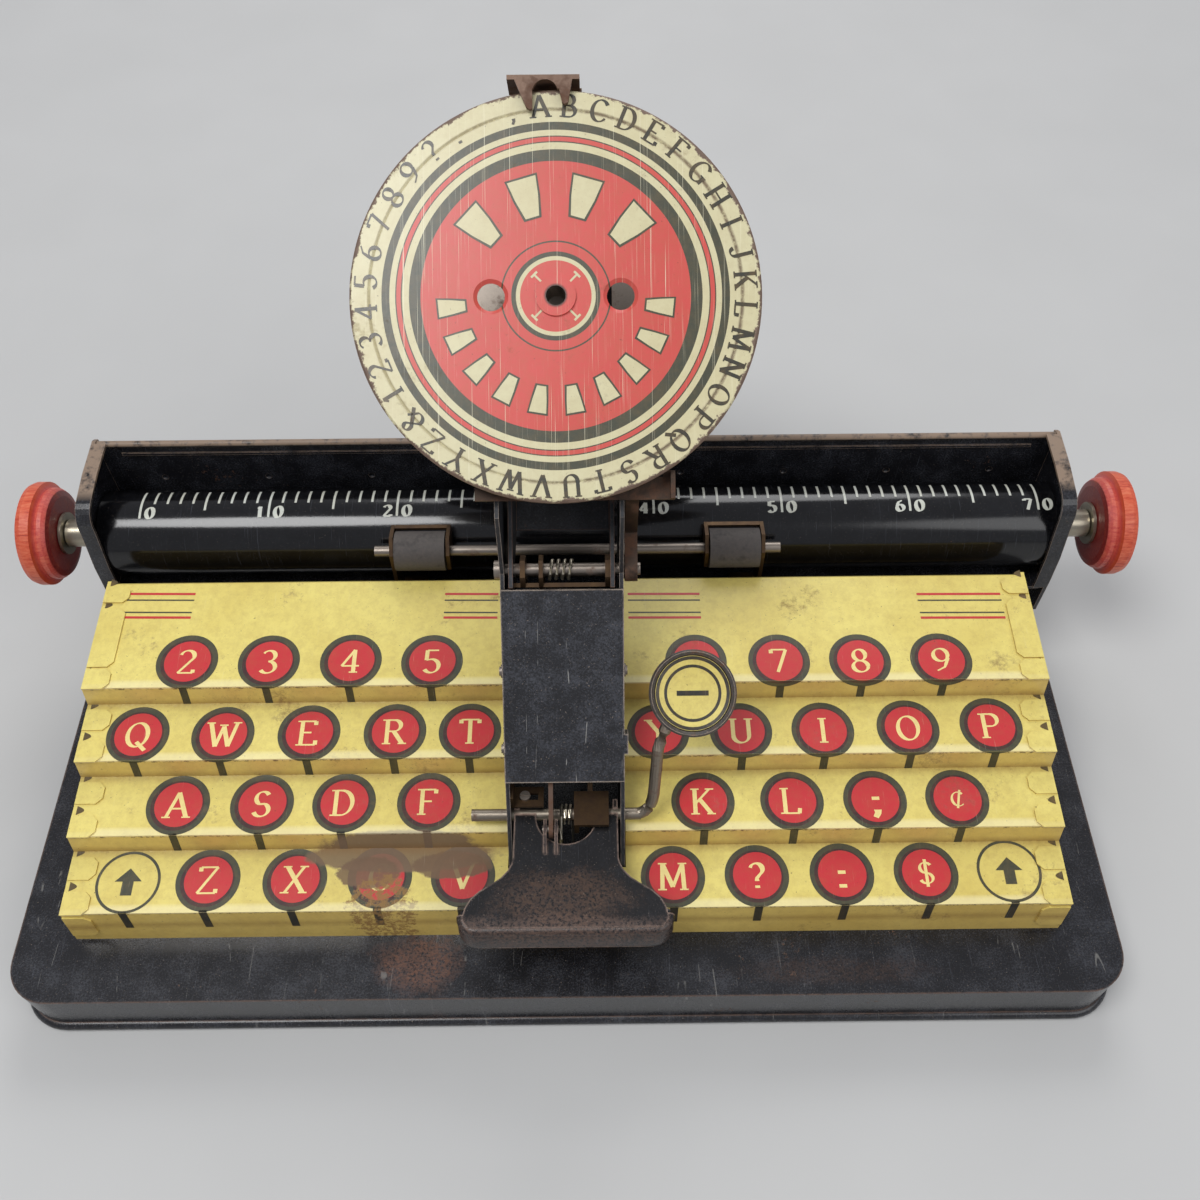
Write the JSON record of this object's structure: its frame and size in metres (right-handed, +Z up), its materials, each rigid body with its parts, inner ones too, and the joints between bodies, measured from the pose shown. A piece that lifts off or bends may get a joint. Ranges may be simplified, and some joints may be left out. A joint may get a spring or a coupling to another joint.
{
  "type": "index typewriter",
  "caption": "Toy index typewriter of pressed tin: dial on a tilting head prints on a sliding platen carriage, worked by a front lever and a space key",
  "frame": {"origin": "on the table under the front edge of the base pan, on the column's centre line", "axes": "+X to the typist's right, +Y from the typist to the rear, +Z up"},
  "size_m": [0.312, 0.1845, 0.1743],
  "materials": {
    "base_pan": "worn",
    "keyboard_panel": "worn",
    "cheek_left": "worn",
    "cheek_right": "worn",
    "column_side_left": "worn",
    "column_side_right": "worn",
    "column_cover": "worn",
    "column_rivets": "worn",
    "pivot_shaft": "worn",
    "spring_post": "worn",
    "head_spring": "worn",
    "guide_rail": "worn",
    "rail_screws": "worn",
    "stop_bracket": "worn",
    "stop_screw": "worn",
    "space_spring": "worn",
    "carriage_tray": "worn",
    "end_plate_left": "worn",
    "end_plate_right": "worn",
    "guide_shoes": "worn",
    "rack": "worn",
    "roller_brackets": "worn",
    "platen_tube": "worn",
    "platen_caps": "worn",
    "platen_spindle": "worn",
    "knob_left": "worn",
    "knob_right": "worn",
    "knob_washers": "worn",
    "feed_shaft": "worn",
    "feed_roller_left": "worn",
    "feed_roller_right": "worn",
    "head_frame": "worn",
    "head_cradle": "worn",
    "index_spring": "worn",
    "pointer_fork": "worn",
    "dial_bush": "worn",
    "link_pin_head": "worn",
    "dial_disc": "worn",
    "dial_eyelet": "worn",
    "dial_shaft": "worn",
    "type_wheel": "worn",
    "type_ring": "worn",
    "pull_bar": "worn",
    "print_lever": "worn",
    "link_pin_lever": "worn",
    "space_rod": "worn",
    "space_key_cup": "worn",
    "space_key_face": "worn",
    "feed_arm": "worn"
  },
  "bodies": {
    "base": {"base_pan": "base_pan", "keyboard_panel": "keyboard_panel", "cheek_left": "cheek_left", "cheek_right": "cheek_right", "column_side_left": "column_side_left", "column_side_right": "column_side_right", "column_cover": "column_cover", "column_rivets": "column_rivets", "pivot_shaft": "pivot_shaft", "spring_post": "spring_post", "head_spring": "head_spring", "guide_rail": "guide_rail", "rail_screws": "rail_screws", "stop_bracket": "stop_bracket", "stop_screw": "stop_screw", "space_spring": "space_spring"},
    "carriage": {"carriage_tray": "carriage_tray", "end_plate_left": "end_plate_left", "end_plate_right": "end_plate_right", "guide_shoes": "guide_shoes", "rack": "rack", "roller_brackets": "roller_brackets"},
    "platen": {"platen_tube": "platen_tube", "platen_caps": "platen_caps", "platen_spindle": "platen_spindle", "knob_left": "knob_left", "knob_right": "knob_right", "knob_washers": "knob_washers"},
    "feed_rollers": {"feed_shaft": "feed_shaft", "feed_roller_left": "feed_roller_left", "feed_roller_right": "feed_roller_right"},
    "head": {"head_frame": "head_frame", "head_cradle": "head_cradle", "index_spring": "index_spring", "pointer_fork": "pointer_fork", "dial_bush": "dial_bush", "link_pin_head": "link_pin_head"},
    "dial": {"dial_disc": "dial_disc", "dial_eyelet": "dial_eyelet", "dial_shaft": "dial_shaft", "type_wheel": "type_wheel", "type_ring": "type_ring"},
    "pull_link": {"pull_bar": "pull_bar"},
    "print_lever": {"print_lever": "print_lever", "link_pin_lever": "link_pin_lever"},
    "space_lever": {"space_rod": "space_rod", "space_key_cup": "space_key_cup", "space_key_face": "space_key_face", "feed_arm": "feed_arm"}
  },
  "joints": [
    {"name": "carriage_slide", "type": "slide", "parent": "base", "child": "carriage", "axis": [1, 0, 0], "range_m": [-0.085, 0.085]},
    {"name": "platen_turn", "type": "hinge", "parent": "carriage", "child": "platen", "pos_m": [0, 0.124, 0.0495], "axis": [1, 0, 0], "continuous": true},
    {"name": "feed_roller_turn", "type": "hinge", "parent": "carriage", "child": "feed_rollers", "pos_m": [0, 0.1089, 0.0587], "axis": [1, 0, 0], "continuous": true},
    {"name": "head_tilt", "type": "hinge", "parent": "base", "child": "head", "pos_m": [0, 0.078, 0.09], "axis": [1, 0, 0], "range_deg": [-5.2, 0]},
    {"name": "dial_turn", "type": "hinge", "parent": "head", "child": "dial", "pos_m": [0, 0.125, 0.12415], "axis": [0, -0.5878, 0.809], "continuous": true},
    {"name": "pull_link_turn", "type": "hinge", "parent": "head", "child": "pull_link", "pos_m": [0, 0.079, 0.077], "axis": [1, 0, 0], "range_deg": [0, 6.5]},
    {"name": "print_lever_press", "type": "hinge", "parent": "base", "child": "print_lever", "pos_m": [0, 0.0379, 0.042], "axis": [1, 0, 0], "range_deg": [0, 10.5], "stiffness_Nm_per_rad": 1, "springref_deg": -28.65},
    {"name": "space_lever_press", "type": "hinge", "parent": "base", "child": "space_lever", "pos_m": [0, 0.0379, 0.042], "axis": [1, 0, 0], "range_deg": [-5, 0], "stiffness_Nm_per_rad": 0.3, "springref_deg": 17.19}
  ],
  "couplings": [
    {"joint": "head_tilt", "follows": "print_lever_press", "ratio": -0.489},
    {"joint": "pull_link_turn", "follows": "print_lever_press", "ratio": 0.6092},
    {"joint": "feed_roller_turn", "follows": "platen_turn", "ratio": -2.2222}
  ]
}
